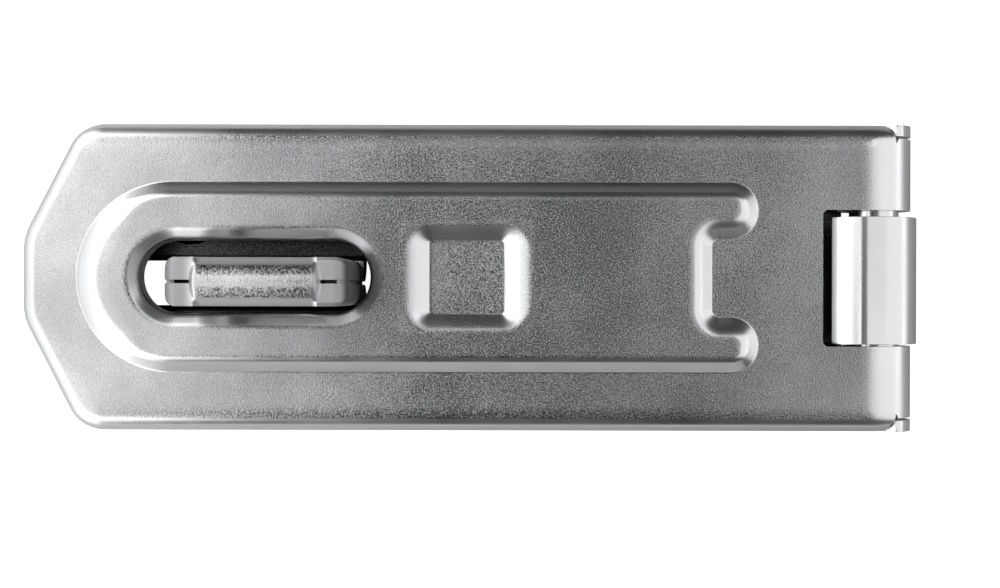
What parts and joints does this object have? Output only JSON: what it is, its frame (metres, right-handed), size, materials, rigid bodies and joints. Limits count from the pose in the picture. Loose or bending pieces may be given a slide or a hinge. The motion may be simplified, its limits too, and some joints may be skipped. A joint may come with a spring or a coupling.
{
  "type": "hasp and staple",
  "caption": "Pressed sheet-steel hasp with a concealed-pin hinge, closed over a folded staple that takes a padlock shackle; the arm covers the screws.",
  "frame": {"origin": "centre of the closed hasp's footprint, on the mounting surface", "axes": "+X along the arm from its free end to the hinge, +Y across the arm, +Z out of the mounting surface"},
  "size_m": [0.08, 0.0274, 0.02],
  "materials": {
    "arm_zinc": "bright zinc plate with a fine grain",
    "leaf_zinc": "bright zinc plate, burnished on the knuckle",
    "pin_zinc": "smooth zinc plate",
    "staple_zinc": "bright zinc plate, grained on the fold"
  },
  "bodies": {
    "staple": {"staple": "staple_zinc"},
    "leaf": {"hinge_leaf": "leaf_zinc"},
    "arm": {"hasp_arm": "arm_zinc", "hinge_pin": "pin_zinc"}
  },
  "joints": [
    {"name": "hasp_lift", "type": "slide", "parent": "staple", "child": "leaf", "axis": [0, 0, 1], "range_m": [0, 0.03]},
    {"name": "arm_hinge", "type": "hinge", "parent": "leaf", "child": "arm", "pos_m": [0.03625, 0, 0.00375], "axis": [0, 1, 0], "range_deg": [0, 175]}
  ]
}
